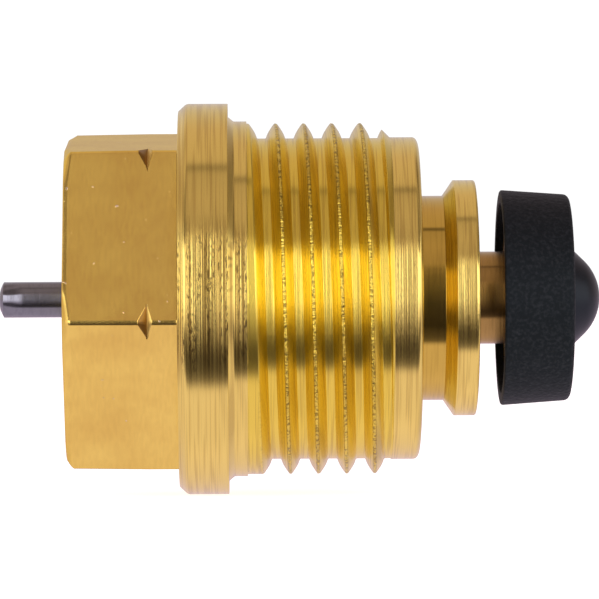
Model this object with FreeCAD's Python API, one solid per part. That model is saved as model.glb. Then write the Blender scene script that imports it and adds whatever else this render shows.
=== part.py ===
import FreeCAD, Part
import math
import os

# Thermostatic radiator valve insert, in millimetres.
# The axis is X: the push pin points to -X and the seal disc to +X. The origin is on the axis,
# in the plane of the flange face that seats on the valve body. +Z is up.

# Clearances
running_clearance = 0.05        # radial, between a moving round part and its bore
assembly_clearance = 0.02       # radial, between a fixed part and its seat
loose_clearance = 0.10          # radial, where a part only passes through
ring_clearance = 0.03           # between an O-ring and the rod that it seals
contact_gap = 0.02              # axial, between two moving faces that push on each other
stop_gap = 0.05                 # axial, between a moving shoulder and its stop at rest
slip_overlap = 1.0              # how far a cutting tool reaches past the material
same_size = 1e-6                # two sizes closer than this are the same

# Bonnet, hexagon end
flange_length = 2.64
flange_radius = 10.45
flange_chamfer_axial = 0.43
flange_chamfer_radial = 0.40
hex_across_flats = 17.0
hex_length = 5.96
hex_turned_trim = 0.095         # how much the turned blank trims off each hexagon corner
hex_chamfer_angle = 30.0        # degrees from the end face
hex_chamfer_depth = 0.72        # how much the chamfer takes off a turned corner's radius
hex_roll = 7.2                  # degrees that one corner lies below -Y
nick_distance = 1.54            # from the flange to the nicks' deepest line
nick_depth = 0.49               # measured from the turned corners
nick_outer_run = 0.50           # axial length of a nick's side towards the end face
nick_inner_run = 0.25           # axial length of a nick's side towards the flange
nick_sector = 30.0              # degrees that the nicking tool sweeps round a corner
nicked_corners = (0, 5)         # counted from the corner at hex_roll, angles rising

# Bonnet, threaded end
shank_radius = 9.5
shank_length = 1.0
shank_fillet_axial = 0.3
shank_fillet_radial = 0.25
thread_major_radius = 9.387
thread_pitch = 1.5
thread_crest_flat = 0.16
thread_flank_angle = 30.0       # degrees from the plane across the axis
thread_depth = 0.804
thread_length = 6.88
thread_first_groove = 0.79      # from the shank to the first groove's middle, at the top
thread_start_turn = 0.15        # turns of groove before the top
thread_end_turn = 0.7           # turns of groove past the end of the full crests
land_length = 1.497
land_step = 0.037               # how far the end land stands above the thread root
land_chamfer_axial = 0.22
land_chamfer_radial = 0.43

# Bonnet, inside
gland_socket_radius = 4.0
gland_socket_depth = 3.0
gland_socket_chamfer = 0.35
stem_ring_room_length = 1.6     # the stem O-ring's counterbore
spring_chamber_radius = 5.0
spring_chamber_inset = 0.3      # how far the chamber's floor lies behind the flange face
bush_spigot_length = 3.5

# Guide bush
neck_radius = 5.475
neck_length = 1.306
collar_radius = 6.306
collar_cone_length = 0.57
collar_length = 1.17
collar_edge = 0.06
spring_cup_radius = 4.5
bush_floor = 0.547              # from the cup's floor to the end of the threaded part
bore_mouth_chamfer = 0.15

# Gland nut, washers and O-rings
gland_recess = 0.2
gland_edge = 0.25
driver_slot_width = 1.2
driver_slot_depth = 0.7
gland_pocket_depth = 1.5
gland_washer_length = 0.45
gland_ring_section = 0.475      # radius of the O-ring's own section
stem_ring_section = 0.62
retainer_length = 0.6

# Push pin
pin_free_radius = 0.955
pin_shaft_radius = 1.2
pin_collar_length = 0.7
pin_reach = 3.69                # how far the tip stands out of the hexagon
pin_tip_radius = 1.8            # spherical radius of the tip

# Spindle
spindle_radius = 2.475
journal_radius = 1.7
spindle_overhang = 1.757        # from the collar's face to the shoulder behind the seal
tail_radius = 2.0
tail_length = 2.95
nose_hole_radius = 1.225
nose_hole_depth = 3.9
clip_groove_offset = 0.52       # from the journal's shoulder to the clip groove
clip_groove_radius = 2.0
clip_length = 0.5
clip_radius = 3.6
clip_opening = 3.0
clip_relief_radius = 2.7
clip_lobe_width = 1.5
clip_lobe_spread = 115.0        # degrees between the clip's top lobe and each lower one
plate_radius = 4.4
plate_length = 0.6
plate_rim_edge = 0.1

# Return spring
spring_wire_radius = 0.45
spring_mean_radius = 3.6
spring_turns = 4.5

# Seal
backing_radius = 5.0
backing_length = 0.6
backing_edge = 0.1
disc_rim_radius = 5.769
disc_face_radius = 5.507
disc_length = 3.688
disc_overhang = 0.405           # how far the rim reaches back past the shoulder
disc_recess_radius = 5.1
disc_edge = 0.33
disc_rim_edge = 0.12
nose_seat_depth = 0.15
nose_base_radius = 2.76
nose_flank_angle = 44.0         # degrees from the axis
nose_height = 1.65
nose_shank_radius = 1.15
nose_shank_length = 3.6
nose_barb_height = 0.06
nose_barb_length = 0.5
nose_barb_count = 4

# Places along the axis that follow from the sizes above
hex_face = -(flange_length + hex_length)
nick_place = -(flange_length + nick_distance)
land_radius = thread_major_radius - thread_depth + land_step
thread_end = shank_length + thread_length
cone_end = thread_end + thread_major_radius - land_radius
bonnet_end = cone_end + land_length
neck_end = bonnet_end + neck_length
collar_start = neck_end + collar_cone_length
collar_end = collar_start + collar_length
gland_seat = hex_face + gland_socket_depth
gland_face = hex_face + gland_recess
chamber_floor = -spring_chamber_inset
stem_ring_floor = chamber_floor - stem_ring_room_length
bush_start = bonnet_end - bush_spigot_length
cup_floor = bonnet_end - bush_floor
retainer_face = chamber_floor + retainer_length
journal_end = retainer_face + stop_gap
clip_groove_start = journal_end + clip_groove_offset
clip_start = clip_groove_start + contact_gap
clip_end = clip_start + clip_length
clip_groove_end = clip_end + contact_gap
plate_end = clip_end + plate_length
shoulder = collar_end + spindle_overhang
tail_end = shoulder + tail_length
backing_end = shoulder + backing_length
disc_start = shoulder - disc_overhang
disc_end = disc_start + disc_length
pin_tip = hex_face - pin_reach
pin_collar_start = gland_seat + stop_gap
pin_collar_end = pin_collar_start + pin_collar_length
journal_start = pin_collar_end + contact_gap

# Radii that follow from the sizes above
hex_corner_radius = hex_across_flats / 2 / math.cos(math.radians(30))
hex_turned_radius = hex_corner_radius - hex_turned_trim
web_bore_radius = journal_radius + loose_clearance
stem_ring_middle = journal_radius + ring_clearance + stem_ring_section
stem_ring_bore_radius = stem_ring_middle + stem_ring_section + assembly_clearance
gland_ring_middle = pin_shaft_radius + ring_clearance + gland_ring_section
gland_pocket_radius = gland_ring_middle + gland_ring_section + assembly_clearance
pin_bore_radius = pin_shaft_radius + running_clearance
guide_bore_radius = spindle_radius + running_clearance
nose_seat_radius = nose_base_radius + ring_clearance

AXIS = FreeCAD.Vector(1, 0, 0)
CENTRE = FreeCAD.Vector(0, 0, 0)


def turned(outline, sector=360.0):
    """Solid turned about the axis from a closed outline of (place, radius) corners.

    A sector in degrees starts at the top, +Z, and turns towards -Y.
    """
    corners = [FreeCAD.Vector(place, 0, radius) for place, radius in outline]
    face = Part.Face(Part.makePolygon(corners + corners[:1]))
    return face.revolve(CENTRE, AXIS, sector)


def turned_to_tip(outline, middle, tip):
    """Solid turned from corners whose last one lies on a sphere about middle that ends at tip."""
    corners = [FreeCAD.Vector(place, 0, radius) for place, radius in outline]
    start_turn = math.atan2(corners[-1].z, corners[-1].x - middle)
    tip_turn = 0 if tip > middle else math.pi
    half_turn = (start_turn + tip_turn) / 2
    sphere_radius = abs(tip - middle)
    halfway = FreeCAD.Vector(middle + sphere_radius * math.cos(half_turn), 0,
                             sphere_radius * math.sin(half_turn))
    end = FreeCAD.Vector(tip, 0, 0)
    arc = Part.Arc(corners[-1], halfway, end).toShape()
    sides = [Part.makeLine(a, b) for a, b in zip(corners, corners[1:])]
    face = Part.Face(Part.Wire(sides + [arc, Part.makeLine(end, corners[0])]))
    return face.revolve(CENTRE, AXIS, 360)


def rod(start, end, radius):
    """Plain cylinder on the axis."""
    return Part.makeCylinder(radius, end - start, FreeCAD.Vector(start, 0, 0), AXIS)


def ring(start, end, outer, inner):
    """Plain washer on the axis."""
    return turned([(start, inner), (start, outer), (end, outer), (end, inner)])


def o_ring(middle, ring_radius, section_radius):
    """Torus about the axis."""
    return Part.makeTorus(ring_radius, section_radius, FreeCAD.Vector(middle, 0, 0), AXIS)


def block(start, end, width, low, high):
    """Box centred on Y = 0 between two places on the axis and two heights."""
    corner = FreeCAD.Vector(start, -width / 2, low)
    return Part.makeBox(end - start, width, high - low, corner)


def edges_at(shape, place, radius):
    """The round edges about the axis at one place with one radius."""
    found = []
    for edge in shape.Edges:
        if not isinstance(edge.Curve, Part.Circle):
            continue
        off_place = abs(edge.Curve.Center.x - place)
        off_radius = abs(edge.Curve.Radius - radius)
        if max(off_place, off_radius) < same_size:
            found.append(edge)
    return found


def helical_sweep(section, radius, pitch, turns, start, first_turn):
    """Sweep a section along a right-hand helix about the axis, advancing towards +X.

    The section is a closed wire in the XZ plane, its X the distance from the axis and its Z
    the distance along it. The helix starts at the place start, first_turn turns after the top.
    """
    helix = Part.makeHelix(pitch, pitch * turns, radius)
    swept = Part.Solid(Part.Wire(helix.Edges).makePipeShell([section], True, True))
    swept.rotate(CENTRE, FreeCAD.Vector(0, 0, 1), first_turn * 360)
    carry = FreeCAD.Matrix(0, 0, 1, start, 0, -1, 0, 0, 1, 0, 0, 0, 0, 0, 0, 1)
    swept.Placement = FreeCAD.Placement(carry).multiply(swept.Placement)
    if swept.Volume < 0:
        swept.reverse()
    return swept


def write(node, shape):
    """Write one sub-part as a STEP file."""
    shape.exportStep("parts/" + node + ".step")


def hex_corner_turn(corner):
    """Angle of one hexagon corner in degrees, measured from +Y towards +Z."""
    return 180 + hex_roll + 60 * corner


def nick(corner):
    """V shaped cut that nicks one corner of the hexagon."""
    floor = hex_turned_radius - nick_depth
    outside = hex_turned_radius + slip_overlap
    rise = (outside - floor) / nick_depth
    cut = turned([(nick_place, floor),
                  (nick_place - nick_outer_run * rise, outside),
                  (nick_place + nick_inner_run * rise, outside)], nick_sector)
    # The cut starts at the top, which is 90 degrees from +Y.
    cut.rotate(CENTRE, AXIS, hex_corner_turn(corner) - nick_sector / 2 - 90)
    return cut


def hexagon_end():
    """Hexagon with turned corners, a chamfered end and nicks in some of its corners."""
    chamfer_radius = hex_turned_radius - hex_chamfer_depth
    chamfer_length = hex_chamfer_depth * math.tan(math.radians(hex_chamfer_angle))
    blank = turned([(hex_face, 0),
                    (hex_face, chamfer_radius),
                    (hex_face + chamfer_length, hex_turned_radius),
                    (-flange_length, hex_turned_radius),
                    (-flange_length, 0)])
    corners = []
    for corner in range(6):
        turn = math.radians(hex_corner_turn(corner))
        corners.append(FreeCAD.Vector(hex_face, hex_corner_radius * math.cos(turn),
                                      hex_corner_radius * math.sin(turn)))
    outline = Part.Face(Part.makePolygon(corners + corners[:1]))
    prism = outline.extrude(AXIS * hex_length)
    return blank.common(prism).cut([nick(corner) for corner in nicked_corners])


def flange_and_shank():
    """Flange with its seating face at the origin, and the plain shank next to it."""
    return turned([(-flange_length, 0),
                   (-flange_length, flange_radius - flange_chamfer_radial),
                   (-flange_length + flange_chamfer_axial, flange_radius),
                   (0, flange_radius),
                   (0, shank_radius + shank_fillet_radial),
                   (shank_fillet_axial, shank_radius),
                   (shank_length, shank_radius),
                   (shank_length, 0)])


def end_land():
    """Plain land past the thread, chamfered at the end of the bonnet."""
    return turned([(cone_end, 0),
                   (cone_end, land_radius),
                   (bonnet_end - land_chamfer_axial, land_radius),
                   (bonnet_end, land_radius - land_chamfer_radial),
                   (bonnet_end, 0)])


def thread_groove():
    """The helical groove between the thread's crests."""
    slope = math.tan(math.radians(thread_flank_angle))
    half_mouth = (thread_pitch - thread_crest_flat) / 2
    half_root = half_mouth - thread_depth * slope
    root = thread_major_radius - thread_depth
    outside = shank_radius + slip_overlap
    # Above the crests the groove goes straight out, so its turns stay apart.
    section = [(root, -half_root), (thread_major_radius, -half_mouth), (outside, -half_mouth),
               (outside, half_mouth), (thread_major_radius, half_mouth), (root, half_root)]
    corners = [FreeCAD.Vector(radius, 0, along) for radius, along in section]
    start = shank_length + thread_first_groove - thread_start_turn * thread_pitch
    turns = (thread_end - start) / thread_pitch + thread_end_turn
    wire = Part.makePolygon(corners + corners[:1])
    return helical_sweep(wire, root, thread_pitch, turns, start, -thread_start_turn)


def thread():
    """Threaded length with its 45 degree end cone, cut while it is still a plain blank."""
    blank = turned([(shank_length, 0),
                    (shank_length, thread_major_radius),
                    (thread_end, thread_major_radius),
                    (cone_end, land_radius),
                    (cone_end, 0)])
    return blank.cut(thread_groove())


def bonnet_bore():
    """Everything that is bored out of the bonnet, from the gland socket to the bush seat."""
    bush_seat_radius = neck_radius + assembly_clearance
    return turned([(hex_face - slip_overlap, 0),
                   (hex_face - slip_overlap,
                    gland_socket_radius + gland_socket_chamfer + slip_overlap),
                   (hex_face + gland_socket_chamfer, gland_socket_radius),
                   (gland_seat, gland_socket_radius),
                   (gland_seat, web_bore_radius),
                   (stem_ring_floor, web_bore_radius),
                   (stem_ring_floor, stem_ring_bore_radius),
                   (chamber_floor, stem_ring_bore_radius),
                   (chamber_floor, spring_chamber_radius),
                   (bush_start, spring_chamber_radius),
                   (bush_start, bush_seat_radius),
                   (bonnet_end + slip_overlap, bush_seat_radius),
                   (bonnet_end + slip_overlap, 0)])


def bonnet():
    """Brass body: hexagon, flange, thread and the stepped bore through it."""
    body = hexagon_end().fuse([flange_and_shank(), thread(), end_land()])
    return body.cut(bonnet_bore())


def guide_bush():
    """Brass bush pressed into the bonnet: spring cup inside, neck and collar outside."""
    return turned([(bush_start, spring_cup_radius),
                   (bush_start, neck_radius),
                   (neck_end, neck_radius),
                   (collar_start, collar_radius),
                   (collar_end - collar_edge, collar_radius),
                   (collar_end, collar_radius - collar_edge),
                   (collar_end, guide_bore_radius + bore_mouth_chamfer),
                   (collar_end - bore_mouth_chamfer, guide_bore_radius),
                   (cup_floor, guide_bore_radius),
                   (cup_floor, spring_cup_radius)])


def gland_nut():
    """Slotted brass nut that closes the gland and guides the push pin."""
    outer = gland_socket_radius - assembly_clearance
    pocket_floor = gland_seat - gland_pocket_depth
    nut = turned([(gland_face, pin_bore_radius),
                  (gland_face, outer - gland_edge),
                  (gland_face + gland_edge, outer),
                  (gland_seat, outer),
                  (gland_seat, gland_pocket_radius),
                  (pocket_floor, gland_pocket_radius),
                  (pocket_floor, pin_bore_radius)])
    slot = block(gland_face - slip_overlap, gland_face + driver_slot_depth,
                 driver_slot_width, -gland_socket_radius, gland_socket_radius)
    return nut.cut(slot)


def gland_washer():
    """Washer behind the gland O-ring; the push pin's collar stops against it."""
    return ring(gland_seat - gland_washer_length, gland_seat,
                gland_pocket_radius - assembly_clearance, pin_bore_radius)


def gland_o_ring():
    """O-ring on the push pin, in the middle of what the washer leaves of the pocket."""
    pocket_floor = gland_seat - gland_pocket_depth
    middle = (pocket_floor + gland_seat - gland_washer_length) / 2
    return o_ring(middle, gland_ring_middle, gland_ring_section)


def stem_o_ring():
    """O-ring on the spindle's journal, in the bonnet's counterbore."""
    middle = (stem_ring_floor + chamber_floor) / 2
    return o_ring(middle, stem_ring_middle, stem_ring_section)


def o_ring_retainer():
    """Washer at the bottom of the spring chamber; it holds the stem O-ring in."""
    return ring(chamber_floor, retainer_face,
                spring_chamber_radius - assembly_clearance, web_bore_radius)


def push_pin():
    """Steel pin with a domed tip and a captive collar at its inner end."""
    middle = pin_tip + pin_tip_radius
    dome_start = middle - math.sqrt(pin_tip_radius ** 2 - pin_free_radius ** 2)
    return turned_to_tip([(pin_collar_end, 0),
                          (pin_collar_end, journal_radius),
                          (pin_collar_start, journal_radius),
                          (pin_collar_start, pin_shaft_radius),
                          (gland_face, pin_shaft_radius),
                          (gland_face, pin_free_radius),
                          (dome_start, pin_free_radius)], middle, pin_tip)


def spindle():
    """Brass spindle: journal, main shank with the clip groove, and the tail for the seal."""
    stem = turned([(journal_start, 0),
                   (journal_start, journal_radius),
                   (journal_end, journal_radius),
                   (journal_end, spindle_radius),
                   (clip_groove_start, spindle_radius),
                   (clip_groove_start, clip_groove_radius),
                   (clip_groove_end, clip_groove_radius),
                   (clip_groove_end, spindle_radius),
                   (shoulder, spindle_radius),
                   (shoulder, tail_radius),
                   (tail_end, tail_radius),
                   (tail_end, 0)])
    return stem.cut(rod(tail_end - nose_hole_depth, tail_end + slip_overlap, nose_hole_radius))


def spring_clip():
    """E-clip in the spindle's groove, open at the bottom, with three lobes that grip."""
    hoop = ring(clip_start, clip_end, clip_radius, clip_relief_radius)
    lobe = block(clip_start, clip_end, clip_lobe_width, 0,
                 (clip_relief_radius + clip_radius) / 2)
    for turn in (0, clip_lobe_spread, -clip_lobe_spread):
        turned_lobe = lobe.copy()
        turned_lobe.rotate(CENTRE, AXIS, turn)
        hoop = hoop.fuse(turned_lobe)
    seat = rod(clip_start - slip_overlap, clip_end + slip_overlap,
               clip_groove_radius + assembly_clearance)
    mouth = block(clip_start - slip_overlap, clip_end + slip_overlap,
                  clip_opening, -clip_radius - slip_overlap, 0)
    return hoop.cut(seat).cut(mouth).removeSplitter()


def spring_plate():
    """Washer that carries the return spring's load to the clip."""
    plate = ring(clip_end, plate_end, plate_radius, spindle_radius + assembly_clearance)
    return plate.makeChamfer(plate_rim_edge, edges_at(plate, plate_end, plate_radius))


def return_spring():
    """Compression spring with ground ends, between the spring plate and the bush's cup."""
    length = cup_floor - plate_end
    pitch = length / spring_turns
    middle = FreeCAD.Vector(spring_mean_radius, 0, 0)
    circle = Part.Circle(middle, FreeCAD.Vector(0, 1, 0), spring_wire_radius)
    section = Part.Wire(circle.toShape())
    coil = helical_sweep(section, spring_mean_radius, pitch, spring_turns, plate_end, 0)
    ends = ring(plate_end, cup_floor, spring_mean_radius + 2 * spring_wire_radius,
                spring_mean_radius - 2 * spring_wire_radius)
    return coil.common(ends)


def seal_backing_plate():
    """Brass washer that stiffens the back of the seal disc."""
    plate = ring(shoulder, backing_end, backing_radius, tail_radius + assembly_clearance)
    return plate.makeChamfer(backing_edge, edges_at(plate, shoulder, backing_radius))


def seal_disc():
    """Rubber disc, slightly conical, hollow behind, with a flat sealing face towards +X."""
    seat_floor = disc_end - nose_seat_depth
    disc = turned([(backing_end, tail_radius + assembly_clearance),
                   (backing_end, disc_recess_radius),
                   (disc_start, disc_recess_radius),
                   (disc_start, disc_rim_radius),
                   (disc_end, disc_face_radius),
                   (disc_end, nose_seat_radius),
                   (seat_floor, nose_seat_radius),
                   (seat_floor, tail_radius + assembly_clearance)])
    disc = disc.makeFillet(disc_edge, edges_at(disc, disc_end, disc_face_radius))
    return disc.makeFillet(disc_rim_edge, edges_at(disc, disc_start, disc_rim_radius))


def retaining_nose():
    """Plastic nose with a domed cone and a barbed shank pushed into the spindle's end."""
    flank = math.radians(nose_flank_angle)
    dome_radius = (nose_base_radius * math.cos(flank) - nose_height * math.sin(flank)) \
        / (1 - math.sin(flank))
    tip = disc_end + nose_height
    middle = tip - dome_radius
    base = disc_end - nose_seat_depth
    shank_start = base - nose_shank_length
    outline = [(shank_start, 0)]
    for barb in range(nose_barb_count):
        barb_start = shank_start + barb * nose_barb_length
        outline.append((barb_start, nose_shank_radius - nose_barb_height))
        outline.append((barb_start + nose_barb_length, nose_shank_radius + nose_barb_height))
    outline += [(shank_start + nose_barb_count * nose_barb_length, nose_shank_radius),
                (base, nose_shank_radius),
                (base, nose_base_radius),
                (disc_end, nose_base_radius),
                (middle + dome_radius * math.sin(flank), dome_radius * math.cos(flank))]
    return turned_to_tip(outline, middle, tip)


os.makedirs("parts", exist_ok=True)

write("bonnet", bonnet())
write("guide_bush", guide_bush())
write("gland_nut", gland_nut())
write("gland_washer", gland_washer())
write("gland_o_ring", gland_o_ring())
write("stem_o_ring", stem_o_ring())
write("o_ring_retainer", o_ring_retainer())
write("push_pin", push_pin())
write("spindle", spindle())
write("spring_clip", spring_clip())
write("spring_plate", spring_plate())
write("return_spring", return_spring())
write("seal_backing_plate", seal_backing_plate())
write("seal_disc", seal_disc())
write("retaining_nose", retaining_nose())
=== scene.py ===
"""Looks of a thermostatic radiator valve insert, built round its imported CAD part.

Metres in Blender, millimetres in the sizes below. The axis is X, the push pin points to -X, the
camera stands at -Y and +Z is up. Angles round the axis run in degrees from +Y towards +Z.
"""

import math

import bmesh
import bpy
import numpy as np
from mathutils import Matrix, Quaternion, Vector


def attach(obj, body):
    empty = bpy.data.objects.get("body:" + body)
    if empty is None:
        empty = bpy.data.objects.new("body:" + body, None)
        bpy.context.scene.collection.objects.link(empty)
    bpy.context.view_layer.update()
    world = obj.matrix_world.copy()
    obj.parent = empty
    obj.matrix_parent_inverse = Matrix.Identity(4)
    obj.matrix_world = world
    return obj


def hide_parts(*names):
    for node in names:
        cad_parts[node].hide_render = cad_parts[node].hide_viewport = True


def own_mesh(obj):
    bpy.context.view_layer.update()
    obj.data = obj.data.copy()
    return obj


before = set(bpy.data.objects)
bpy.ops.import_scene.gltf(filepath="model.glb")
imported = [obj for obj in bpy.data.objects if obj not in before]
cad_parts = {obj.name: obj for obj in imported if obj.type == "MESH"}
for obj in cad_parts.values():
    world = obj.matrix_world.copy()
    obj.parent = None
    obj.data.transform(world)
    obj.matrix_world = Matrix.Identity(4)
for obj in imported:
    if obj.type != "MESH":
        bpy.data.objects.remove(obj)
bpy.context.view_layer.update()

MM = 0.001
MERGE = 1e-7                    # metres; grid points closer than this are one point
SUPPORT = 0.05                  # how far from a sharp edge the row that keeps it crisp lies

# Bonnet, hexagon end
FLANGE_FACE = -2.64             # the flange's side towards the hexagon
HEX_FACE = -8.60
HEX_APOTHEM = 8.45              # drawn bar, a little under its nominal 17 mm across the flats
HEX_CORNER_TURN = 187.2         # one corner lies 7.2 degrees below -Y
HEX_TURNED_RADIUS = 9.69
HEX_CHAMFER_RADIUS = 9.0
HEX_CHAMFER_LENGTH = 0.416      # at the corners
HEX_TAPER = 0.06                # how much narrower the hexagon is at its end face
RIM_LENGTH = 0.26               # worn edge between the flats and the end face
RIM_DEPTH = 0.14
LAND_HALF_TURN = 30 - math.degrees(math.acos(HEX_APOTHEM / HEX_TURNED_RADIUS))
GLAND_BORE = 4.0                # bore behind the end face, with the chamfer at its mouth
GLAND_CHAMFER = 0.35
FACE_RADIUS = 7.9               # how far out the flat end face is turned
NICK_PLACE = -4.18
NICK_FLOOR = 9.27
NICK_LEFT_RUN = 1.12            # axial run per radial depth of the nick's left wall
NICK_RIGHT_RUN = 0.56
NICK_ROOT = 0.06                # width of the soft line at the nick's floor
NICKED_CORNERS = (127.2, 187.2)
NICK_HALF_TURN = 30 - math.degrees(math.acos(HEX_APOTHEM / NICK_FLOOR))

# Bonnet, threaded end
SHANK_END = 1.0
SHANK_RADIUS = 9.5
BURR_DEPTH = 0.10               # how far down a crest its burrs reach
BURR_HEIGHT = 0.012
BURR_FADE = (1.6, 2.1)          # places between which the burrs fade in
CREST_RADIUS = 9.387
PITCH = 1.5
THREAD_DEPTH = 0.804
# Groove section: depth below the crest by the distance from the groove's middle.
GROOVE_REACH = (0.0, 0.18, 0.2, 0.218, 0.25, 0.29, 0.33, 0.414, 0.50, 0.58, 0.63, 0.67, 0.70,
                0.75)
GROOVE_DEPTH = (THREAD_DEPTH, THREAD_DEPTH, THREAD_DEPTH, 0.80, 0.772, 0.665, 0.56, 0.40, 0.265,
                0.15, 0.08, 0.03, 0.006, 0.0)
FIRST_GROOVE = 1.79
GROOVE_FADE = (-0.45, -0.1)     # turns between which the first groove fades in
THREAD_END = 7.88
CONE_END = 8.647
LAND_RADIUS = 8.62
BONNET_END = 10.144
BUSH_SEAT = 6.644               # shoulder in the bore that the guide bush is pressed against
BUSH_BORE = 5.495
BUSH_NECK = 5.475
BUSH_NECK_END = 11.45
LAND_EDGE_LENGTH = 0.30         # the land ends in a quarter of an oval
LAND_EDGE_DEPTH = 0.45

# Return spring
SPRING_START = 1.99
SPRING_END = 9.597
SPRING_TURNS = 4.5
SPRING_RADIUS = 3.6
WIRE_RADIUS = 0.45

# Push pin, spindle and seal
PIN_TIP = -12.29
PIN_RADIUS = 0.955
PIN_DOME = 1.8                  # radius of the tip's dome
STEM_RADIUS = 2.475
NOSE_BARBS = 14.48              # where the nose's barbed shank begins
NOSE_SEAT = 18.08               # its head lies against the disc here
NOSE_EDGE = 18.23
NOSE_TIP = 19.88
NOSE_RADIUS = 2.76
NOSE_FLANK = 44                 # degrees between the axis and the nose's straight flank
BARB_LENGTH = 0.5
BARB_COUNT = 4

# Camera
CAMERA_PLACE = Vector((0.85, -247.0, 0.0)) * MM
CAMERA_AIM = Vector((3.80, 0.0, -0.05)) * MM
CAMERA_ROLL = -0.28             # degrees
FLOOR_HALF = 4.0                # metres
FLOOR_HEIGHT = -10.46
FRAME_WIDTH = 32.10             # mm across the picture at the axis
SENSOR_WIDTH = 36.0


# ---------------------------------------------------------------- meshes

def unit(vector):
    """Vector of length 1 in the same direction."""
    return vector / np.linalg.norm(vector)


def rounded(corners, closed=False, steps=4):
    """Profile through (place, radius, rounding) corners as rows of (place, radius).

    A corner that turns by an angle a becomes an arc whose tangents are rounding * tan(a / 2)
    long, with a support point just past each end so that the shading between arcs stays flat.
    """
    points = [np.array(corner[:2], float) for corner in corners]
    count, rows = len(corners), []
    for i, corner in enumerate(corners):
        here, rounding = points[i], corner[2]
        if rounding == 0 or (not closed and i in (0, count - 1)):
            rows.append(here)
            continue
        back, ahead = unit(points[i - 1] - here), unit(points[(i + 1) % count] - here)
        turn = math.pi - math.acos(np.clip(back @ ahead, -1, 1))
        tangent = rounding * math.tan(turn / 2)
        centre = here + unit(back + ahead) * rounding / math.cos(turn / 2)
        start, end = here + back * tangent - centre, here + ahead * tangent - centre
        rows.append(here + back * tangent * 1.5)
        for angle in np.linspace(0, turn, steps + 1):
            arc = (start * math.sin(turn - angle) + end * math.sin(angle)) / math.sin(turn)
            rows.append(centre + arc)
        rows.append(here + ahead * tangent * 1.5)
    if closed:
        rows.append(rows[0])
    return np.array(rows)


def finish_mesh(name, points, faces, finishes):
    """Closed mesh object from millimetre points; coinciding points merge, faces turn outward."""
    mesh = bpy.data.meshes.new(name)
    mesh.from_pydata((points * MM).tolist(), [], faces.tolist())
    mesh.polygons.foreach_set("material_index", finishes.astype(np.int32))
    work = bmesh.new()
    work.from_mesh(mesh)
    bmesh.ops.remove_doubles(work, verts=work.verts, dist=MERGE)
    if work.calc_volume(signed=True) < 0:
        bmesh.ops.reverse_faces(work, faces=work.faces)
    work.to_mesh(mesh)
    work.free()
    mesh.polygons.foreach_set("use_smooth", np.ones(len(mesh.polygons), bool))
    made = bpy.data.objects.new(name, mesh)
    bpy.context.scene.collection.objects.link(made)
    return made


def grid_faces(rows, columns):
    """Quads between neighbouring rows and columns of a grid of points."""
    low = np.arange(rows - 1)[:, None] * columns + np.arange(columns - 1)[None, :]
    return np.stack([low, low + 1, low + columns + 1, low + columns], axis=2).reshape(-1, 4)


def skin(name, places, radii, turns, finishes=None):
    """Grid carried round the axis: y = r cos t, z = r sin t, with r and x given for each point.

    The last column repeats the first one, a full turn on, and the first and last rows
    coincide or lie on the axis, so that the merged mesh is closed.
    """
    angle = np.radians(turns)[None, :]
    points = np.stack([places, radii * np.cos(angle), radii * np.sin(angle)], axis=2)
    rows, columns = places.shape
    if finishes is None:
        finishes = np.zeros(rows - 1)
    return finish_mesh(name, points.reshape(-1, 3), grid_faces(rows, columns),
                       np.repeat(finishes, columns - 1))


def turned(name, corners, closed=False, columns=192, second=None):
    """Piece turned about the axis from a profile; a profile that isn't closed ends on the axis.

    The second finish is on the faces whose middles are in the box (low and high place, low and
    high radius).
    """
    profile = rounded(corners, closed)
    turns = np.linspace(0, 360, columns + 1)
    places, radii = (np.repeat(profile[:, k:k + 1], columns + 1, axis=1) for k in (0, 1))
    finishes = np.zeros(len(profile) - 1)
    if second:
        place, radius = (profile[:-1] + profile[1:]).T / 2
        low, high, inner, outer = second
        finishes[(place > low) & (place < high) & (radius > inner) & (radius < outer)] = 1
    return skin(name, places, radii, turns, finishes)


def smoothstep(value, low, high):
    """0 below low, 1 above high, and 3 s^2 - 2 s^3 between them."""
    share = np.clip((value - low) / (high - low), 0, 1)
    return share * share * (3 - 2 * share)


def waves(turns, seed, low, high, count=14):
    """Sum of sines with random whole numbers of waves per turn, about -1 to 1."""
    source = np.random.default_rng(seed)
    total = np.zeros_like(turns)
    for _ in range(count):
        total += np.sin(2 * math.pi * (source.integers(low, high) * turns + source.random()))
    return total / math.sqrt(count)


def hexagon_radius(turns):
    """Distance from the axis to the hexagon: apothem / cos(angle off the flat's middle).

    It is at most the radius to which the corners were turned.
    """
    off_flat = (turns - HEX_CORNER_TURN) % 60 - 30
    return np.minimum(HEX_APOTHEM / np.cos(np.radians(off_flat)), HEX_TURNED_RADIUS)


def nick_depth(turns):
    """How far the hexagon stands above the nicks' floor, at the corners that have a nick."""
    near = np.zeros_like(turns, bool)
    for corner in NICKED_CORNERS:
        near |= np.abs((turns - corner + 180) % 360 - 180) < 15
    return np.where(near, np.maximum(hexagon_radius(turns) - NICK_FLOOR, 0), 0)


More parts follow.
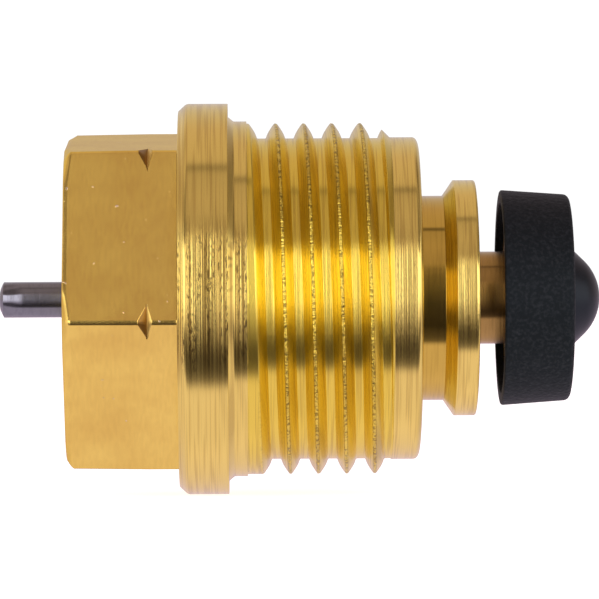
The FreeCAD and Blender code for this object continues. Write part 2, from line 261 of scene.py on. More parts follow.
def thread_radius(places, turns):
    """Radius of the threaded length: crests, grooves and the 45 degree cone at its end.

    The groove's middle is at x = FIRST_GROOVE + PITCH * u, with u the turns since the top, and
    its depth goes by the distance from there. Burrs stand on the crests by a sum of sines.
    """
    phase = (places - FIRST_GROOVE) / PITCH - (turns - 90) / 360
    lap = np.round(phase)
    run = lap + (turns - 90) / 360
    depth = np.interp(np.abs(phase - lap) * PITCH, GROOVE_REACH, GROOVE_DEPTH)
    depth = np.maximum(depth - (1 - smoothstep(run, *GROOVE_FADE)) * THREAD_DEPTH, 0)
    burr = np.clip(1 - depth / BURR_DEPTH, 0, 1) * BURR_HEIGHT
    burr = burr * smoothstep(places, *BURR_FADE)
    depth = depth + burr * (1 + waves(turns / 360 + 0.37 * lap, 11, 40, 110))
    return np.minimum(CREST_RADIUS - depth, CREST_RADIUS - (places - THREAD_END))


def thread_places(turns):
    """Rows of the threaded length: lines along the helix, and rings where its two ends are."""
    side = np.array(GROOVE_REACH)
    pitch_rows = np.concatenate([side, PITCH - side[-2:0:-1]])
    lines = np.concatenate([FIRST_GROOVE + PITCH * lap + pitch_rows for lap in range(-2, 6)])
    helical = lines[:, None] + PITCH * (turns[None, :] - 90) / 360
    step = 0.03
    rings = np.concatenate([[SHANK_END], np.arange(THREAD_END - step, CONE_END, step)])
    rings = np.repeat(rings[:, None], len(turns), axis=1)
    places = np.clip(np.concatenate([helical, rings]), SHANK_END, CONE_END)
    return np.sort(places, axis=0)


def bonnet_turns():
    """Angles of the columns round the bonnet: even ones, and closer ones at the corners.

    An even one too near a corner's own is left out.
    """
    beside = [LAND_HALF_TURN, LAND_HALF_TURN + 0.12]
    special = []
    for corner in HEX_CORNER_TURN + 60 * np.arange(-1, 5):
        offsets = beside + ([2.5, 4.0, 5.5, NICK_HALF_TURN] if corner in NICKED_CORNERS else [])
        special += [corner] + [corner + s * offset for offset in offsets for s in (-1, 1)]
    special = np.array(special)
    even, gap = np.linspace(90, 450, 289), 0.45
    clear = np.abs(even[:, None] - special[None, :]).min(axis=1) > gap
    return np.sort(np.concatenate([even[clear], special]))


# Finishes of the bonnet, in the order of its materials
TURNED, HEXAGON, THREAD, NICK_SHADE, NICK_LIGHT = range(5)


def even_rows(profile, ones, finish):
    """Rows of a profile that is the same all round."""
    return [(x * ones, r * ones, finish) for x, r in profile]


def hexagon_rows(turns):
    """Rows from the gland's bore to the flange: x and r at each angle, and the next strip's finish.

    The rim between the end face and the flats is the middle between a straight chamfer and a
    quarter of an oval. A nick is a groove with two straight walls, and is only as long as the
    corner stands above its floor.
    """
    ones = np.ones(len(turns))
    corner, nick = hexagon_radius(turns), nick_depth(turns)
    cut = np.clip((corner - HEX_CHAMFER_RADIUS) / (HEX_TURNED_RADIUS - HEX_CHAMFER_RADIUS), 0, 1)
    rim = np.minimum(corner, HEX_CHAMFER_RADIUS) - (1 - cut) * RIM_DEPTH
    chamfer_end = HEX_FACE + RIM_LENGTH + cut * (HEX_CHAMFER_LENGTH - RIM_LENGTH)
    rows = even_rows(rounded([(HEX_FACE + GLAND_CHAMFER, GLAND_BORE, 0),
                              (HEX_FACE, GLAND_BORE + GLAND_CHAMFER, 0.05),
                              (HEX_FACE, FACE_RADIUS, 0)]), ones, TURNED)
    rows.append((HEX_FACE * ones, rim - HEX_TAPER - SUPPORT, HEXAGON))
    for share in np.linspace(0, 1, 7):
        inward = 0.5 * (share + 1 - math.cos(share * math.pi / 2))
        outward = 0.5 * (share + math.sin(share * math.pi / 2))
        rows.append((HEX_FACE + inward * (chamfer_end - HEX_FACE),
                     rim + outward * (corner - rim) - HEX_TAPER, HEXAGON))
    left, right = NICK_PLACE - NICK_LEFT_RUN * nick, NICK_PLACE + NICK_RIGHT_RUN * nick
    root = NICK_ROOT * (nick > 0)
    return rows + [
        (chamfer_end + 0.06, corner - HEX_TAPER, HEXAGON),
        (left - 0.04, corner, HEXAGON),
        # The nick's left wall gets the darker material: painted shade.
        (left, corner, NICK_SHADE),
        (NICK_PLACE - root, corner - nick + root, NICK_SHADE),
        # The nick's right wall gets the paler material: painted light.
        (NICK_PLACE * ones, corner - nick, NICK_LIGHT),
        (NICK_PLACE + root / 2, corner - nick + root, NICK_LIGHT),
        (right, corner, HEXAGON),
        (right + 0.04, corner, HEXAGON),
        ((FLANGE_FACE - SUPPORT) * ones, corner, HEXAGON),
        (FLANGE_FACE * ones, corner, TURNED)]


def land_and_bore():
    """Profile of the end land, which ends in a quarter of an oval, and of the stepped bore."""
    edge = [(BONNET_END - LAND_EDGE_LENGTH * (1 - math.sin(t)),
             LAND_RADIUS - LAND_EDGE_DEPTH * (1 - math.cos(t)), 0)
            for t in np.linspace(0, math.pi / 2, 9)]
    support = 0.03
    return rounded([
        (CONE_END, LAND_RADIUS - 0.01, 0), (CONE_END, LAND_RADIUS, 0),
        (CONE_END + support, LAND_RADIUS, 0), (edge[0][0] - support, LAND_RADIUS, 0)] + edge + [
        (BONNET_END, BUSH_BORE, 0.04), (BUSH_SEAT, BUSH_BORE, 0), (BUSH_SEAT, 5.0, 0),
        (-0.3, 5.0, 0), (-0.3, 2.99, 0), (-1.9, 2.99, 0), (-1.9, 1.8, 0), (-5.6, 1.8, 0),
        (-5.6, GLAND_BORE, 0), (HEX_FACE + GLAND_CHAMFER, GLAND_BORE, 0)])


def bonnet():
    """Hexagon, flange, thread, end land and stepped bore as one closed mesh round the axis."""
    turns = bonnet_turns()
    ones = np.ones(len(turns))
    flange = rounded([(FLANGE_FACE, 9.85, 0), (FLANGE_FACE, 10.05, 0.05), (-2.21, 10.45, 0.34),
                      (0, 10.45, 0.02), (0, 9.75, 0.05), (0.3, SHANK_RADIUS, 0.15),
                      (SHANK_END, SHANK_RADIUS, 0.01), (SHANK_END, 9.4, 0)])
    thread_x = thread_places(turns)
    thread_r = thread_radius(thread_x, turns[None, :])
    rows = hexagon_rows(turns)
    rows += even_rows(flange[:-1], ones, TURNED) + even_rows(flange[-1:], ones, THREAD)
    rows += [(x, r, THREAD) for x, r in zip(thread_x, thread_r)]
    rows += even_rows(land_and_bore(), ones, TURNED)
    places, radii, finishes = (np.array([row[k] for row in rows]) for k in range(3))
    return skin("bonnet_look", places, radii, turns, finishes[:-1])


def spring():
    """Coil of round wire about the axis, its ends ground flat: x = start + pitch * u."""
    around, along = 20, 320
    run = np.linspace(0, SPRING_TURNS, along)
    run = np.concatenate([run[:1], run, run[-1:]])
    size = np.full(along + 2, WIRE_RADIUS)
    size[[0, -1]] = 0
    section = np.linspace(0, 2 * math.pi, around + 1)
    pitch = (SPRING_END - SPRING_START) / SPRING_TURNS
    x = SPRING_START + pitch * run[:, None] + size[:, None] * np.cos(section)[None, :]
    x = np.clip(x, SPRING_START, SPRING_END)
    r = SPRING_RADIUS + size[:, None] * np.sin(section)[None, :]
    angle = 2 * math.pi * run[:, None] + math.pi / 2
    points = np.stack([x, r * np.cos(angle), r * np.sin(angle)], axis=2).reshape(-1, 3)
    faces = grid_faces(along + 2, around + 1)
    return finish_mesh("return_spring_look", points, faces, np.zeros(len(faces)))


def dome(middle, radius, start, end, steps=10):
    """Corners on a circle about a point of the axis, from one angle to another, in degrees."""
    angles = np.radians(np.linspace(start, end, steps + 1))
    return [(middle + radius * math.cos(a), radius * math.sin(a), 0) for a in angles]


# ---------------------------------------------------------------- materials

def colour(code):
    """Linear colour of an sRGB hex code."""
    parts = [int(code[i:i + 2], 16) / 255 for i in (0, 2, 4)]
    return [p / 12.92 if p <= 0.04045 else ((p + 0.055) / 1.055) ** 2.4 for p in parts] + [1.0]


def add(tree, kind, inputs=(), stops=(), **settings):
    """Outputs of a new node with its settings and inputs, in socket order or as a dict.

    An input is a number, a vector, an sRGB code or another node's output. Stops are the
    (position, grey) points of a colour ramp, lowest first.
    """
    made = tree.nodes.new("ShaderNode" + kind)
    for name, value in settings.items():
        setattr(made, name, value)
    for key, value in inputs.items() if isinstance(inputs, dict) else enumerate(inputs):
        if isinstance(value, bpy.types.NodeSocket):
            tree.links.new(value, made.inputs[key])
        else:
            made.inputs[key].default_value = colour(value) if isinstance(value, str) else value
    for place, _ in stops[1:-1]:
        made.color_ramp.elements.new(place)
    for element, (place, grey) in zip(made.color_ramp.elements if stops else (), stops):
        element.position = place
        element.color = (grey, grey, grey, 1.0)
    return made.outputs


def new_material(name):
    """Material with its tree and its shader."""
    made = bpy.data.materials.new(name)
    made.use_nodes = True
    return made, made.node_tree, made.node_tree.nodes["Principled BSDF"]


def millimetres(tree):
    """Place on the object in millimetres, as a vector."""
    place = add(tree, "TexCoord")["Object"]
    return add(tree, "VectorMath", {0: place, "Scale": 1 / MM}, operation="SCALE")[0]


def ring_coordinates(tree):
    """Coordinates that run across turning marks: the vector (x + r, cos t, sin t), x + r in mm.

    Also gives the direction round the axis, (0, -z, y), and x and r in mm.
    """
    x, y, z = add(tree, "SeparateXYZ", [millimetres(tree)])
    spoke = add(tree, "CombineXYZ", (0.0, y, z))[0]
    r = add(tree, "VectorMath", [spoke], operation="LENGTH")["Value"]
    across = add(tree, "CombineXYZ", [add(tree, "Math", (x, r), operation="ADD")[0]])[0]
    round_axis = add(tree, "VectorMath", [spoke], operation="NORMALIZE")[0]
    turn = add(tree, "VectorMath", (across, round_axis), operation="ADD")[0]
    around = add(tree, "VectorMath", ((1, 0, 0), spoke), operation="CROSS_PRODUCT")[0]
    return turn, around, x, r


def lumps(tree, place, density, detail=2.0, roughness=0.5):
    """Random pattern, 0 to 1, with so many lumps per unit of place along each of its axes."""
    close = add(tree, "Mapping", {"Vector": place, "Scale": density})[0]
    return add(tree, "TexNoise", {"Vector": close, "Scale": 1.0, "Detail": detail,
                                  "Roughness": roughness})["Fac"]


def chatter(tree, turn, x, tone, strength):
    """Tone with what a chattering tool leaves: dark rings, and pits torn into some of them.

    They are in three patches round the piece, where cos(3 (t - PATCH_TURN)) is high, and are
    strong up to the thread (x = 2 mm) and weak from x = 4 mm on.
    """
    _, cosine, sine = add(tree, "SeparateXYZ", [turn])
    angle = add(tree, "Math", (sine, cosine), operation="ARCTAN2")[0]
    angle = add(tree, "Math", (angle, PATCH_TURN), operation="SUBTRACT")[0]
    angle = add(tree, "Math", (angle, PATCHES), operation="MULTIPLY")[0]
    patches = add(tree, "Math", [angle], operation="COSINE")[0]
    along = add(tree, "Math", (x, 10.0), operation="DIVIDE")[0]
    fade = add(tree, "ValToRGB", [along], [(0.2, strength), (0.4, 0.3 * strength)])[0]

    rings = lumps(tree, turn, (14.0, 0.7, 0.7), 1.0)
    rings = add(tree, "ValToRGB", [rings], [(0.42, 1.0), (0.53, 0.0)])[0]
    wide = add(tree, "ValToRGB", [patches], [(0.2, 0.0), (0.7, 1.0)])[0]

    pits = lumps(tree, turn, (13.0, 30.0, 30.0), 1.0)
    pits = add(tree, "ValToRGB", [pits], [(0.51, 0.0), (0.63, 1.0)])[0]
    torn_rings = lumps(tree, turn, (3.0, 1.0, 1.0), 0.0)
    torn_rings = add(tree, "ValToRGB", [torn_rings], [(0.42, 0.0), (0.54, 1.0)])[0]
    narrow = add(tree, "ValToRGB", [patches], [(0.35, 0.0), (0.75, 1.0)])[0]
    narrow = add(tree, "Math", (narrow, torn_rings), operation="MULTIPLY")[0]

    for marks, patch, code in ((rings, wide, "8A6A26"), (pits, narrow, "5E4416")):
        marks = add(tree, "Math", (marks, patch), operation="MULTIPLY")[0]
        marks = add(tree, "Math", (marks, fade), operation="MULTIPLY")[0]
        tone = add(tree, "Mix", {0: marks, 6: tone, 7: code}, data_type="RGBA")[2]
    return tone


def crest_tears(tree, turn, x, r, tone, height):
    """Tone and tool marks of a cut thread: smooth flanks, and crests torn by the cutter.

    The tears are on the last 0.07 mm below the crests and fade in from x = 1.5 to 2.1 mm.
    """
    above_root = add(tree, "Math", (r, CREST_RADIUS - THREAD_DEPTH), operation="SUBTRACT")[0]
    marked = add(tree, "ValToRGB", [above_root], [(0.04, 1.0), (0.10, 0.08)])[0]
    height = add(tree, "Math", (height, marked), operation="MULTIPLY")[0]

    edge = add(tree, "Math", (r, CREST_RADIUS - 0.07), operation="SUBTRACT")[0]
    edge = add(tree, "Math", (edge, 10.0), operation="MULTIPLY")[0]
    edge = add(tree, "ValToRGB", [edge], [(0.0, 0.0), (0.4, 1.0)])[0]
    along = add(tree, "Math", (x, 1.5), operation="SUBTRACT")[0]
    along = add(tree, "ValToRGB", [along], [(0.0, 0.0), (0.6, 1.0)])[0]
    edge = add(tree, "Math", (edge, along), operation="MULTIPLY")[0]

    torn = lumps(tree, turn, (6.0, 90.0, 90.0))
    torn = add(tree, "Math", (torn, 2.2), operation="MULTIPLY")[0]
    height = add(tree, "Math", (torn, edge, height), operation="MULTIPLY_ADD")[0]
    tears = lumps(tree, turn, (5.0, 60.0, 60.0), 1.0)
    tears = add(tree, "ValToRGB", [tears], [(0.50, 0.0), (0.62, 0.55)])[0]
    tears = add(tree, "Math", (tears, edge), operation="MULTIPLY")[0]
    tone = add(tree, "Mix", {0: tears, 6: tone, 7: "5A4018"}, data_type="RGBA")[2]
    return tone, height


def turned_metal(name, code, line_code, roughness, feed, mark, chattered=0.0, threaded=False):
    """Turned metal: rings of tool marks every feed mm, mark mm deep, and fine darker lines.

    The marks draw each reflection out across themselves, so it is anisotropic along (0, -z, y).
    """
    made, tree, shader = new_material(name)
    turn, around, x, r = ring_coordinates(tree)
    height = lumps(tree, turn, (1 / feed, 0.08 / feed, 0.08 / feed), 1.0, 0.6)
    lines = add(tree, "ValToRGB", [lumps(tree, turn, (8.0, 1.6, 1.6), 1.0)],
                [(0.36, 0.3), (0.52, 0.0)])[0]
    tone = add(tree, "Mix", {0: lines, 6: code, 7: line_code}, data_type="RGBA")[2]
    if chattered:
        tone = chatter(tree, turn, x, tone, chattered)
    if threaded:
        tone, height = crest_tears(tree, turn, x, r, tone, height)
    shader.inputs["Metallic"].default_value = 1.0
    shader.inputs["Roughness"].default_value = roughness
    shader.inputs["Anisotropic"].default_value = 0.8
    shader.inputs["Anisotropic Rotation"].default_value = 0.25
    marks = add(tree, "Bump", {"Height": height, "Distance": mark * MM})[0]
    for socket, value in (("Tangent", around), ("Base Color", tone), ("Normal", marks)):
        tree.links.new(value, shader.inputs[socket])
    return made


def drawn_metal(name, code, stain_code, line_code, glint_code):
    """Drawn bar: faint marks across the flats, light stains, and small dents whose pale colour is a
    painted glint.
    """
    made, tree, shader = new_material(name)
    place = millimetres(tree)
    brush = lumps(tree, place, (5.0, 0.25, 0.25))
    stain = add(tree, "ValToRGB", [lumps(tree, place, (0.25, 0.35, 0.35), 3.0)],
                [(0.35, 0.0), (0.7, 0.7)])[0]
    # Dents: real bumps, with a pale colour that is a painted glint.
    dent_glints = add(tree, "ValToRGB", [lumps(tree, place, (4.0, 4.0, 4.0), 0.0)],
                 [(0.845, 0.0), (0.875, 1.0)])[0]
    lines = add(tree, "ValToRGB", [lumps(tree, place, (6.0, 0.8, 1.6))],
                [(0.36, 0.14), (0.62, 0.0)])[0]
    tone = code
    for share, other in ((stain, stain_code), (lines, line_code), (dent_glints, glint_code)):
        tone = add(tree, "Mix", {0: share, 6: tone, 7: other}, data_type="RGBA")[2]
    height = add(tree, "Math", (dent_glints, 4.0, brush), operation="MULTIPLY_ADD")[0]
    marks = add(tree, "Bump", {"Height": height, "Distance": 0.003 * MM})[0]
    shader.inputs["Metallic"].default_value = 1.0
    shader.inputs["Roughness"].default_value = 0.22
    shader.inputs["Specular Tint"].default_value = colour("FFF2BE")
    for socket, value in (("Base Color", tone), ("Normal", marks)):
        tree.links.new(value, shader.inputs[socket])
    return made


def plain(name, code, roughness, metallic=0.0, specular=0.5, tint="FFFFFF", grain=0.0,
          grain_density=1.0):
    """One colour, with an optional grain (mm deep, lumps per mm) that holds pale dust."""
    made, tree, shader = new_material(name)
    for socket, value in (("Base Color", colour(code)), ("Roughness", roughness),
                          ("Metallic", metallic), ("Specular IOR Level", specular),
                          ("Specular Tint", colour(tint))):
        shader.inputs[socket].default_value = value
    if grain:
        place = millimetres(tree)
        dust = add(tree, "ValToRGB", [lumps(tree, place, [1.6 * grain_density] * 3)],
                   [(0.45, 0.0), (0.85, 0.2)])[0]
        dusty = add(tree, "Mix", {0: dust, 6: code, 7: "505256"}, data_type="RGBA")[2]
        bumps = add(tree, "Bump", {"Height": lumps(tree, place, [grain_density] * 3),
                                   "Distance": grain * MM})[0]
        tree.links.new(dusty, shader.inputs["Base Color"])
        tree.links.new(bumps, shader.inputs["Normal"])
    return made


PATCHES = 3                     # patches of chatter round a turned piece
PATCH_TURN = math.radians(181)  # angle round the axis of the first one

# Free-cutting brass, turned on an automatic lathe. Its feed marks spread every reflection into
# bands along the axis, and the tool chattered on the wide collar. A real feed of about 0.05 mm
# would be too fine to show, so the marks are drawn 0.10 mm apart.
turned_brass = turned_metal("turned_brass", "F8E47A", "9C7834", 0.22, 0.10, 0.021,
                            chattered=0.75)

# The same brass where the thread was cut in several passes: bright, smooth, yellow flanks that
# mirror each other, and crests with torn, glittering edges.
thread_brass = turned_metal("cut_thread_brass", "F8E25E", "9C7834", 0.25, 0.11, 0.028,
                            threaded=True)

# The bush's neck, turned with a fine finishing cut: a near mirror, so the room's dark side
# shows in it as one sharp band. Its colour, darker than the bonnet's all round, is painted
# shade for its recess between the bonnet's end and the collar.
shaded_neck_brass = turned_metal("fine_turned_shaded_brass", "D8BB54", "B49840", 0.11, 0.2, 0.002)

# The wall of a milled nick that faces away from the light, in a darker brown colour: painted shade.
nick_shade_brass = turned_metal("nick_shade_brass", "A68240", "8C6C30", 0.4, 0.2, 0.002)

# The nick's other wall, in a paler colour: painted light. It is rough enough to glow rather than
# mirror.
nick_light_brass = turned_metal("nick_painted_light_brass", "FFE680", "F0CC60", 0.5, 0.2, 0.002)

# Hexagon bar of the same brass, cold drawn and left as drawn: satin flats, each of one even
# brightness, with faint die marks, thin stains and a few dents with painted glints.
hexagon_brass = drawn_metal("drawn_hexagon_brass", "FBE272", "E8C862", "D0A850", "FFF0C8")

# Turned and lightly oxidised brass rod: browner and duller than the bonnet.
spindle_brass = turned_metal("spindle_brass", "B29554", "967A40", 0.2, 0.10, 0.004)

# Stainless steel rod, centreless ground: grey, with hardly visible rings, dark where it mirrors
# the opening of the tent.
ground_stainless = turned_metal("ground_stainless", "868B8E", "74787C", 0.2, 0.05, 0.002)

# Stainless spring wire and stamped sheet, drawn or rolled bright: an even, soft shine.
spring_steel = plain("spring_steel", "8C8C90", 0.3, 1.0)

# Peroxide-cured EPDM rubber from a sand-blasted mould: black with a cool, very weak sheen. The
# mould's grain of about 0.1 mm is drawn 0.3 mm wide so that it shows, with dust in its hollows.
epdm_rubber = plain("matte_epdm_rubber", "141719", 0.55, specular=0.13, tint="DCFFFF",
                    grain=0.05, grain_density=3.5)

# Nitrile rubber, moulded in polished moulds: black with a soft, even shine.
nitrile_rubber = plain("nitrile_rubber", "1C1C1E", 0.45)

# Glass-filled polyamide, injection moulded in a polished mould: black, with a broad, weak,
# slightly cool highlight on the dome.
black_plastic = plain("semi_gloss_black_plastic", "0E1218", 0.3, specular=0.24, tint="DCFFFF")


def dress(made, body, slot, *materials, replaced=()):
    """Materials, body and the CAD nodes that a new piece stands for; the slot is not used."""
    for material in materials:
        made.data.materials.append(material)
    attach(made, body)
    if replaced:
        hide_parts(*replaced)
    return made


# ---------------------------------------------------------------- pieces

# The bonnet is one piece of brass: hexagon bar that was turned, threaded and bored.
dress(bonnet(), "bonnet_assembly", "turned_brass", turned_brass, hexagon_brass, thread_brass,
      nick_shade_brass, nick_light_brass, replaced=("bonnet",))

# The guide bush is pressed into the bonnet and carries the spindle. Only its neck is turned fine,
# and its darker colour there is painted shade.
bush = turned("guide_bush_look", [
    (BUSH_SEAT, 4.5, 0), (BUSH_SEAT, BUSH_NECK, 0.05), (BUSH_NECK_END, BUSH_NECK, 0.05),
    (12.02, 6.306, 0.04), (13.19, 6.306, 0.12), (13.19, 2.675, 0.03), (13.04, 2.525, 0),
    (SPRING_END, 2.525, 0), (SPRING_END, 4.5, 0.05)], closed=True, columns=256,
    second=(BUSH_SEAT - 0.05, BUSH_NECK_END + 0.02, BUSH_NECK - 0.17, BUSH_NECK + 0.12))
# The neck's material has a darker colour: painted shade.
dress(bush, "bonnet_assembly", "turned_brass", turned_brass, shaded_neck_brass,
      replaced=("guide_bush",))

# The push pin: a shoulder that stays behind the gland, a shank and a domed tip.
pin = turned("push_pin_look", [
    (-4.85, 0, 0), (-4.85, 1.7, 0.05), (-5.55, 1.7, 0.05), (-5.55, 1.2, 0.02), (-8.4, 1.2, 0.03),
    (-8.4, PIN_RADIUS, 0.02), (-10.9, PIN_RADIUS, 0)]
    + dome(PIN_TIP + PIN_DOME, PIN_DOME, 180 - math.degrees(math.asin(PIN_RADIUS / PIN_DOME)),
           180), columns=96)
dress(pin, "push_pin", "ground_stainless", ground_stainless, replaced=("push_pin",))

# The spindle: a foot that the pin pushes, a groove for the clip, and a bored end for the nose.
stem = turned("spindle_look", [
    (-4.83, 0, 0), (-4.83, 1.7, 0.05), (0.35, 1.7, 0.03), (0.35, STEM_RADIUS, 0.08),
    (0.87, STEM_RADIUS, 0.03), (0.87, 2.0, 0.03), (1.41, 2.0, 0.03), (1.41, STEM_RADIUS, 0.03),
    (14.947, STEM_RADIUS, 0.04), (14.947, 2.0, 0.03), (17.897, 2.0, 0.05), (17.897, 1.225, 0.03),
    (13.997, 1.225, 0.03), (13.997, 0, 0)], columns=128)
dress(stem, "spindle_assembly", "spindle_brass", spindle_brass, replaced=("spindle",))

# The seal disc narrows towards the valve's seat, and its hollow back holds the backing plate.
disc = turned("seal_disc_look", [
    (15.547, 2.02, 0), (15.547, 5.1, 0.05), (14.542, 5.1, 0.05), (14.542, 5.769, 0.12),
    (NOSE_EDGE, 5.507, 0.33), (NOSE_EDGE, 2.79, 0.04), (NOSE_SEAT, 2.79, 0),
    (NOSE_SEAT, 2.02, 0)], closed=True, columns=256)
dress(disc, "spindle_assembly", "epdm_rubber", epdm_rubber, replaced=("seal_disc",))

# The nose holds the disc: a barbed shank in the spindle's bore, a head, a straight flank and a
# dome that touches the flank.
flank = math.radians(NOSE_FLANK)
nose_dome = (NOSE_RADIUS * math.cos(flank) - (NOSE_TIP - NOSE_EDGE) * math.sin(flank)) \
    / (1 - math.sin(flank))
barbs = [(NOSE_BARBS + BARB_LENGTH * (i + share), 1.09 + height, 0)
         for i in range(BARB_COUNT) for share, height in ((0, 0), (1, 0.12))]
nose = turned("retaining_nose_look", [(NOSE_BARBS, 0, 0)] + barbs + [
    (NOSE_BARBS + BARB_LENGTH * BARB_COUNT, 1.15, 0), (NOSE_SEAT, 1.15, 0.02),
    (NOSE_SEAT, NOSE_RADIUS, 0.03), (NOSE_EDGE, NOSE_RADIUS, 0.06)]
    + dome(NOSE_TIP - nose_dome, nose_dome, 90 - NOSE_FLANK, 0, 16), columns=160)
dress(nose, "spindle_assembly", "black_plastic", black_plastic, replaced=("retaining_nose",))

# The return spring, between the plate on the spindle and the bush; on the real valve it shortens as
# the spindle slides, here it has one length.
coil = dress(spring(), "bonnet_assembly", "spring_steel", spring_steel,
             replaced=("return_spring",))
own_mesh(coil)

# Pieces that stay as the solids made them
for node, material in (("gland_nut", turned_brass), ("gland_washer", turned_brass),
                       ("o_ring_retainer", turned_brass), ("gland_o_ring", nitrile_rubber),
                       ("stem_o_ring", nitrile_rubber), ("spring_clip", spring_steel),
                       ("spring_plate", spring_steel), ("seal_backing_plate", spindle_brass)):
    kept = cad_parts[node]
    kept.data.materials.clear()
    kept.data.materials.append(material)

# ---------------------------------------------------------------- floor, light and camera

floor_mesh = bpy.data.meshes.new("floor")
floor_mesh.from_pydata([(x * FLOOR_HALF, y * FLOOR_HALF, FLOOR_HEIGHT * MM)
                        for x, y in ((-1, -1), (1, -1), (1, 1), (-1, 1))], [], [(0, 1, 2, 3)])
floor = bpy.data.objects.new("floor", floor_mesh)
bpy.context.scene.collection.objects.link(floor)
# White paper lit from below, so that the object's shade on it stays faint.
floor_paper = plain("white_paper_floor", "F4F4F4", 1.0)
floor_shader = floor_paper.node_tree.nodes["Principled BSDF"]
floor_shader.inputs["Emission Color"].default_value = (1.0, 1.0, 1.0, 1.0)
floor_shader.inputs["Emission Strength"].default_value = 0.8
floor_mesh.materials.append(floor_paper)
floor.visible_glossy = False

# Brightness of the light tent by the angle above the camera's side, seen across the axis: for
# directions square to the axis, and for those towards the push pin and the seal.
MIDDLE = [(-180, 0.72), (-150, 0.78), (-105, 0.91), (-90, 0.86), (-56, 0.86), (-53.5, 0.72),
          (-49.5, 0.2), (-44, 0.11), (-31, 0.03), (-5, 0.02), (5, 0.05), (14, 0.11), (23, 0.15),
          (33, 0.26), (39, 0.47), (60, 0.56), (80.5, 0.5), (82, 0.2), (85, 0.2), (87, 0.6),
          (110, 0.63), (150, 0.62), (180, 0.58)]
PIN_SIDE = [(-180, 0.7), (-135, 0.8), (-90, 0.87), (-56, 0.9), (-51, 0.3), (-46, 0.15),
            (-20, 0.15), (0, 0.26), (80, 0.26), (86, 0.62), (103, 0.55), (113, 0.41),
            (123, 0.5), (135, 0.62), (150, 0.73), (180, 0.65)]
SEAL_SIDE = [(-180, 0.62), (-135, 0.76), (-91, 0.84), (-79, 0.84), (-56, 0.9), (-51, 0.3),
             (-46, 0.16), (-20, 0.16), (0, 0.2), (80, 0.2), (88, 0.42), (101, 0.26), (111, 0.2),
             (121, 0.175), (131, 0.33), (141, 0.43), (157, 0.5), (180, 0.6)]
SIDES_BEGIN = [(0.2, 0.0), (0.4, 1.0)]  # how much of the sides' light counts, by |x|

# The two softboxes, left and right of the camera: their brightness, where they begin (by |x|),
# their top and bottom (by z), their far edge (by -y), and how bright they are from the push
# pin's end of the tent to the seal's (by x).
SOFTBOX = 2.42
SOFTBOX_EDGE = [(0.15, 0.0), (0.22, 1.0)]
SOFTBOX_HEIGHT = [(-0.55, 0.0), (-0.45, 0.24), (-0.22, 0.62), (0.0, 1.0), (0.58, 1.0),
                  (0.62, 0.0)]
SOFTBOX_BACK = [(-0.25, 0.0), (-0.10, 1.0)]
SOFTBOX_ACROSS = [(-0.93, 0.45), (-0.91, 1.15), (-0.74, 1.15), (-0.66, 0.45), (-0.45, 1.0),
                  (0.45, 1.0), (0.64, 0.66)]
# How much lower they look towards the tent's ends, from |x| = 0.25 on: upper half, lower half
# at the seal's end and lower half at the push pin's end.
SOFTBOX_TAPERS = (0.9, 2.4, 2.0)
TAPER_BEGINS = 0.25

# A lit strip right at the push pin's end of the tent
POLE = 1.1
POLE_EDGE = [(0.93, 0.0), (0.96, 1.0)]
POLE_HALF_HEIGHT = 0.14

SOFTBOX_TINT = (1.0, 0.88, 1.0, 1.0)
LOWER_TINT = (1.0, 0.79, 0.97, 1.0)     # the tent's cloth is warmer, most of all above
UPPER_TINT = (1.0, 0.73, 0.72, 1.0)
BACK_TINT = (1.0, 0.9, 1.0, 1.0)
BACK_EDGE = [(0.5, 0.0), (0.98, 1.0)]   # by y, above the axis
BACKDROP = (1.05, 1.05, 1.05, 1.0)


def by_table(tree, value, table, low=-1.0, high=1.0):
    """Grey at a value between low and high, from (value, grey) points joined by straight lines."""
    share = add(tree, "MapRange", (value, low, high))[0]
    return add(tree, "ValToRGB", [share],
               [((place - low) / (high - low), grey) for place, grey in table])[0]


def softbox_share(tree, z, front, off_middle, above, at_seal):
    """How much of a direction's light is a softbox's: 0 or 1 with soft edges.

    Its height is z * (1 + taper * (|x| - TAPER_BEGINS)).
    """
    upper, seal_end, pin_end = SOFTBOX_TAPERS
    taper = add(tree, "Mix", {0: at_seal, 2: pin_end, 3: seal_end})[0]
    taper = add(tree, "Mix", {0: above, 2: taper, 3: upper})[0]
    beyond = add(tree, "Math", (off_middle, TAPER_BEGINS), operation="SUBTRACT")[0]
    taper = add(tree, "Math", (beyond, taper, 1.0), operation="MULTIPLY_ADD")[0]
    height = add(tree, "Math", (z, taper), operation="MULTIPLY")[0]
    share = add(tree, "ValToRGB", [off_middle], SOFTBOX_EDGE)[0]
    for value, table in ((height, SOFTBOX_HEIGHT), (front, SOFTBOX_BACK)):
        inside = by_table(tree, value, table)
        share = add(tree, "Math", (share, inside), operation="MULTIPLY")[0]
    return share


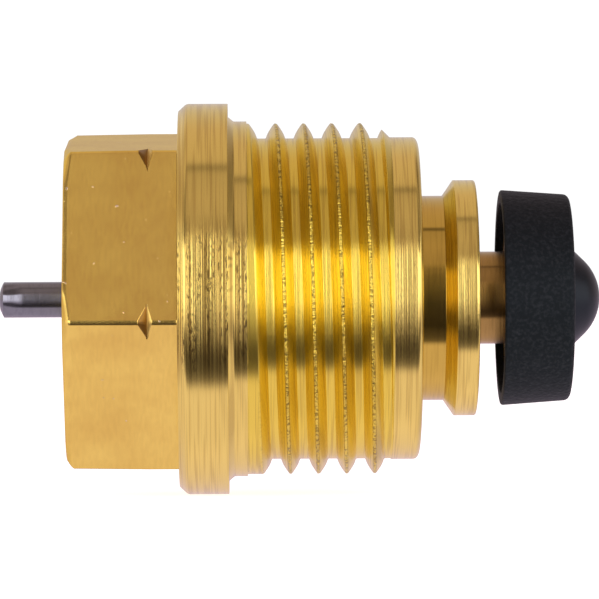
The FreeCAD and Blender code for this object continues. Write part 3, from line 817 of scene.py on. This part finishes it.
def tent_light():
    """World light: a tent with a dark opening at the camera between two tall softboxes."""
    world = bpy.data.worlds.new("light_tent")
    world.use_nodes = True
    tree = world.node_tree
    x, y, z = add(tree, "SeparateXYZ", [add(tree, "TexCoord")["Generated"]])
    front = add(tree, "Math", (y, -1.0), operation="MULTIPLY")[0]
    off_middle = add(tree, "Math", [x], operation="ABSOLUTE")[0]
    above = add(tree, "Math", (z, 0.0), operation="GREATER_THAN")[0]
    at_seal = add(tree, "Math", (x, 0.0), operation="GREATER_THAN")[0]

    turn = add(tree, "Math", (z, front), operation="ARCTAN2")[0]
    turn = add(tree, "Math", [turn], operation="DEGREES")[0]
    middle, pin_side, seal_side = (by_table(tree, turn, table, -180.0, 180.0)
                                   for table in (MIDDLE, PIN_SIDE, SEAL_SIDE))
    sides = add(tree, "Mix", {0: at_seal, 2: pin_side, 3: seal_side})[0]
    beside = add(tree, "ValToRGB", [off_middle], SIDES_BEGIN)[0]
    light = add(tree, "Mix", {0: beside, 2: middle, 3: sides})[0]

    box = softbox_share(tree, z, front, off_middle, above, at_seal)
    level = add(tree, "Math", (by_table(tree, x, SOFTBOX_ACROSS), SOFTBOX),
                operation="MULTIPLY")[0]
    light = add(tree, "Mix", {0: box, 2: light, 3: level})[0]

    to_pin = add(tree, "Math", (x, -1.0), operation="MULTIPLY")[0]
    pole = add(tree, "ValToRGB", [to_pin], POLE_EDGE)[0]
    off_level = add(tree, "Math", [z], operation="ABSOLUTE")[0]
    low_enough = add(tree, "Math", (off_level, POLE_HALF_HEIGHT), operation="LESS_THAN")[0]
    pole = add(tree, "Math", (pole, low_enough), operation="MULTIPLY")[0]
    light = add(tree, "Mix", {0: pole, 2: light, 3: POLE})[0]

    behind = add(tree, "Math", (y, above), operation="MULTIPLY")[0]
    behind = add(tree, "ValToRGB", [behind], BACK_EDGE)[0]
    tint = LOWER_TINT
    for share, other in ((above, UPPER_TINT), (behind, BACK_TINT), (box, SOFTBOX_TINT)):
        tint = add(tree, "Mix", {0: share, 6: tint, 7: other}, data_type="RGBA")[2]
    warm = add(tree, "VectorMath", (light, tint), operation="MULTIPLY")[0]
    seen = add(tree, "LightPath")["Is Camera Ray"]
    shown = add(tree, "Mix", {0: seen, 6: warm, 7: BACKDROP}, data_type="RGBA")[2]
    tree.links.new(shown, tree.nodes["Background"].inputs["Color"])
    bpy.context.scene.world = world


def side_camera():
    """Camera at the side of the insert: level, a little off the flange, with a long lens."""
    data = bpy.data.cameras.new("side_camera")
    data.sensor_width = SENSOR_WIDTH
    data.lens = SENSOR_WIDTH * -CAMERA_PLACE.y / (FRAME_WIDTH * MM)
    data.clip_start, data.clip_end = 0.01, 10.0
    camera = bpy.data.objects.new("side_camera", data)
    camera.location = CAMERA_PLACE
    camera.rotation_mode = "QUATERNION"
    aim = (CAMERA_AIM - CAMERA_PLACE).to_track_quat("-Z", "Y")
    camera.rotation_quaternion = aim @ Quaternion((0, 0, 1), math.radians(CAMERA_ROLL))
    bpy.context.scene.collection.objects.link(camera)
    bpy.context.scene.camera = camera


tent_light()
side_camera()
bpy.context.scene.view_settings.view_transform = "Standard"
